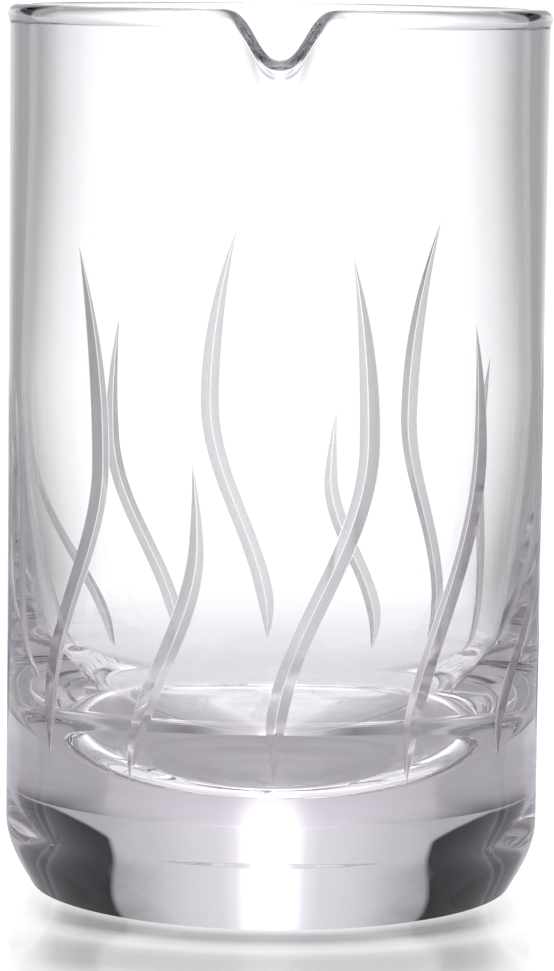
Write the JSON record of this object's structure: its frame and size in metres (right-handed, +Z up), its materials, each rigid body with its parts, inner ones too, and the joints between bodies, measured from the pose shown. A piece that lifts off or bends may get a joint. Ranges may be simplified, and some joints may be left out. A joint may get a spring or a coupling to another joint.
{
  "type": "mixing glass",
  "caption": "Clear straight-sided stirring glass with a heavy solid foot, a fire-polished rim with one pouring lip, and wavy V grooves cut round the wall",
  "frame": {"origin": "centre of the flat resting face under the foot, on the table plane and on the axis of the vessel", "axes": "+Z up along the vessel's axis towards the mouth, -Y towards the pouring lip, +X to the right of the lip seen from outside"},
  "size_m": [0.0946, 0.0998, 0.1545],
  "materials": {
    "foot_glass": "clear fire-polished crystal glass, solid foot",
    "wall_glass": "clear polished crystal glass with satin wheel-cut V grooves",
    "rim_glass": "clear fire-polished crystal glass"
  },
  "bodies": {
    "root": {"base": "foot_glass", "body": "wall_glass", "rim": "rim_glass"}
  },
  "joints": []
}
